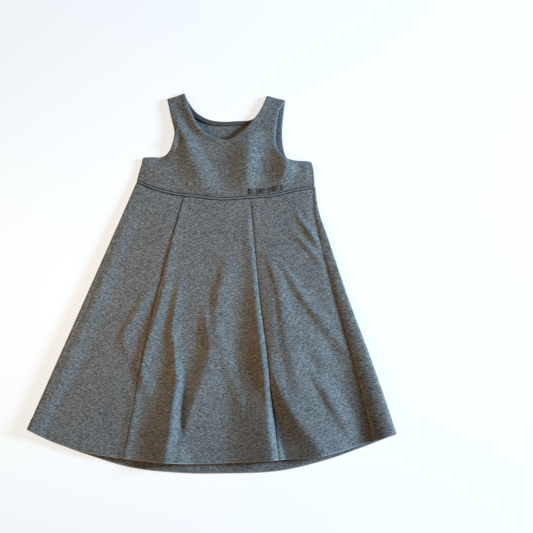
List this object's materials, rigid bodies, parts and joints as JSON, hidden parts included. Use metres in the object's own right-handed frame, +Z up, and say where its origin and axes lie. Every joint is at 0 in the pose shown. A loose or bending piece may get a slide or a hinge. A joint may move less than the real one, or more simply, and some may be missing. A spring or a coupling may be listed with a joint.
{
  "type": "pinafore dress",
  "caption": "Child's sleeveless pinafore dress in grey heather knit, laid flat, with a raised waist band, small bows and a flared panelled skirt.",
  "frame": {"origin": "on the surface that the dress lies on, under the middle of its bounding box", "axes": "+Z up off the surface, +Y towards the shoulders, +X to the right as the front is seen from above"},
  "size_m": [0.5815, 0.6357, 0.0157],
  "materials": {
    "cloth": "matt grey heather knit",
    "facing": "matt grey heather knit, wrong side",
    "band": "matt charcoal piping",
    "ribbon": "charcoal ribbon with a soft sheen"
  },
  "bodies": {
    "root": {"skirt_back": "cloth", "skirt_front_left": "cloth", "skirt_front_centre": "cloth", "skirt_front_right": "cloth", "bodice_back": "cloth", "bodice_front": "cloth", "neck_facing": "facing", "waist_band": "band", "bow_1": "ribbon", "bow_2": "ribbon", "bow_3": "ribbon"}
  },
  "joints": []
}
